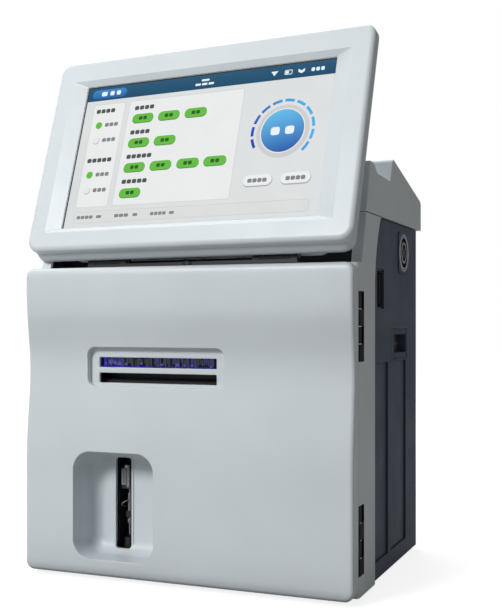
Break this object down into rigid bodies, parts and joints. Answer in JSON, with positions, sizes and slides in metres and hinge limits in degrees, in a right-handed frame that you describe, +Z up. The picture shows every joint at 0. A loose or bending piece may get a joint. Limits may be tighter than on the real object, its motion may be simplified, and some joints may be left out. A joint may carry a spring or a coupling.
{
  "type": "blood gas analyzer",
  "caption": "Benchtop blood gas analyzer with a tilting touch screen over a hinged front door, a sampler bay with a swing-out probe, a printer window and side drawers.",
  "frame": {"origin": "On the bench, under the middle of the outline seen from above, display included.", "axes": "+Z up, +X to the right of someone facing the front door, +Y towards the back."},
  "size_m": [0.3284, 0.2594, 0.4835],
  "materials": {
    "door_plastic": "satin moulded, light cool grey",
    "display_plastic": "satin moulded, light cool grey",
    "cabinet_plastic": "fine textured, mid grey",
    "navy_panel": "fine textured, dark navy",
    "drawer_navy": "fine textured, dark navy",
    "button_plastic": "satin",
    "black_plastic": "satin black",
    "vent_metal": "satin",
    "hinge_black": "satin black",
    "pin_steel": "ground",
    "screw_steel": "turned",
    "catch_grey": "satin",
    "sheet_steel": "zinc-coated sheet",
    "foot_rubber": "matt",
    "platen_rubber": "matt",
    "window_glass": "smoked, clear",
    "touch_glass": "clear",
    "screen": "glossy, lit",
    "light": "translucent blue",
    "circuit_board": "solder mask",
    "probe_grey": "satin",
    "cassette_blue": "translucent",
    "motor_metal": "black coated",
    "pump_plastic": "smooth",
    "roller_white": "smooth",
    "tube_silicone": "translucent silicone",
    "paper_white": "smooth thermal paper",
    "bottle_plastic": "translucent natural",
    "pack_white": "smooth"
  },
  "bodies": {
    "cabinet": {"front_frame": "cabinet_plastic", "top_cover": "cabinet_plastic", "display_bay": "black_plastic", "left_panel": "navy_panel", "right_panel": "navy_panel", "rear_panel": "navy_panel", "base_tray": "sheet_steel", "bulkhead": "sheet_steel", "feet": "foot_rubber", "case_screws": "screw_steel", "side_vent": "vent_metal", "side_ports": "black_plastic", "frame_knuckles": "hinge_black", "door_hinge_pins": "pin_steel", "door_catch": "catch_grey", "swivel_post": "pin_steel", "sampler_bracket": "black_plastic", "sensor_block": "black_plastic", "sensor_cassette": "cassette_blue", "light_bar": "light", "pump_motor": "motor_metal", "pump_head": "pump_plastic", "valve_motor": "motor_metal", "valve_body": "pump_plastic", "printer_frame": "black_plastic", "print_head": "black_plastic", "roll_spindle": "pin_steel", "drawer_guides": "sheet_steel", "mainboard": "circuit_board", "power_supply": "sheet_steel", "fan_frame": "black_plastic", "power_inlet": "black_plastic", "fluid_lines": "tube_silicone"},
    "door": {"front_door": "door_plastic", "door_window": "window_glass", "door_knuckles": "hinge_black"},
    "display_carrier": {"tilt_carrier": "black_plastic", "tilt_pins": "pin_steel"},
    "display": {"display_bezel": "display_plastic", "touch_glass": "touch_glass", "lcd_panel": "screen", "display_rear_shell": "display_plastic", "display_board": "circuit_board", "display_ears": "catch_grey"},
    "waste_tray": {"waste_drawer": "drawer_navy", "waste_bottle": "bottle_plastic"},
    "reagent_tray": {"reagent_drawer": "drawer_navy", "reagent_pack": "pack_white"},
    "release_key": {"release_button": "button_plastic"},
    "probe": {"probe_arm": "probe_grey", "probe_needle": "pin_steel"},
    "pump_wheel": {"pump_rotor": "pump_plastic"},
    "roller_a": {"pump_roller_1": "roller_white"},
    "roller_b": {"pump_roller_2": "roller_white"},
    "valve_disc": {"valve_rotor": "pump_plastic"},
    "platen": {"platen_roller": "platen_rubber"},
    "paper": {"paper_roll": "paper_white"},
    "fan": {"fan_rotor": "black_plastic"},
    "power_key": {"power_rocker": "black_plastic"}
  },
  "joints": [
    {"name": "door_swing", "type": "hinge", "parent": "cabinet", "child": "door", "pos_m": [0.1519, -0.0913, 0.142], "axis": [0, 0, 1], "range_deg": [0, 110]},
    {"name": "display_swivel", "type": "hinge", "parent": "cabinet", "child": "display_carrier", "pos_m": [0, -0.094, 0.284], "axis": [0, 0, 1], "range_deg": [0, 9]},
    {"name": "display_tilt", "type": "hinge", "parent": "display_carrier", "child": "display", "pos_m": [0, -0.094, 0.2861], "axis": [0.9969, -0.0785, 0], "range_deg": [0, 12]},
    {"name": "waste_drawer_slide", "type": "slide", "parent": "cabinet", "child": "waste_tray", "axis": [1, 0, 0], "range_m": [0, 0.12]},
    {"name": "reagent_drawer_slide", "type": "slide", "parent": "cabinet", "child": "reagent_tray", "axis": [1, 0, 0], "range_m": [0, 0.12]},
    {"name": "release_press", "type": "slide", "parent": "cabinet", "child": "release_key", "axis": [-1, 0, 0], "range_m": [0, 0.0025], "stiffness_N_per_m": 400, "springref_m": -0.002},
    {"name": "probe_swing", "type": "hinge", "parent": "cabinet", "child": "probe", "pos_m": [-0.0716, -0.072, 0.094], "axis": [-1, 0, 0], "range_deg": [0, 70]},
    {"name": "pump_spin", "type": "hinge", "parent": "cabinet", "child": "pump_wheel", "pos_m": [0.092, -0.062, 0.229], "axis": [0, 1, 0], "continuous": true},
    {"name": "roller_a_spin", "type": "hinge", "parent": "pump_wheel", "child": "roller_a", "pos_m": [0.092, -0.062, 0.247], "axis": [0, 1, 0], "continuous": true},
    {"name": "roller_b_spin", "type": "hinge", "parent": "pump_wheel", "child": "roller_b", "pos_m": [0.092, -0.062, 0.211], "axis": [0, 1, 0], "continuous": true},
    {"name": "valve_turn", "type": "hinge", "parent": "cabinet", "child": "valve_disc", "pos_m": [0.08, -0.086, 0.134], "axis": [0, 1, 0], "range_deg": [0, 300]},
    {"name": "platen_feed", "type": "hinge", "parent": "cabinet", "child": "platen", "pos_m": [-0.027, -0.0895, 0.174], "axis": [1, 0, 0], "continuous": true},
    {"name": "paper_unroll", "type": "hinge", "parent": "cabinet", "child": "paper", "pos_m": [-0.027, -0.072, 0.135], "axis": [1, 0, 0], "continuous": true},
    {"name": "fan_spin", "type": "hinge", "parent": "cabinet", "child": "fan", "pos_m": [0.06, 0.109, 0.254], "axis": [0, 1, 0], "continuous": true},
    {"name": "power_switch", "type": "hinge", "parent": "cabinet", "child": "power_key", "pos_m": [-0.062, 0.119, 0.036], "axis": [-1, 0, 0], "range_deg": [0, 14]}
  ],
  "couplings": [
    {"joint": "roller_a_spin", "follows": "pump_spin", "ratio": -4.6},
    {"joint": "roller_b_spin", "follows": "pump_spin", "ratio": -4.6},
    {"joint": "paper_unroll", "follows": "platen_feed", "ratio": -0.35294}
  ]
}
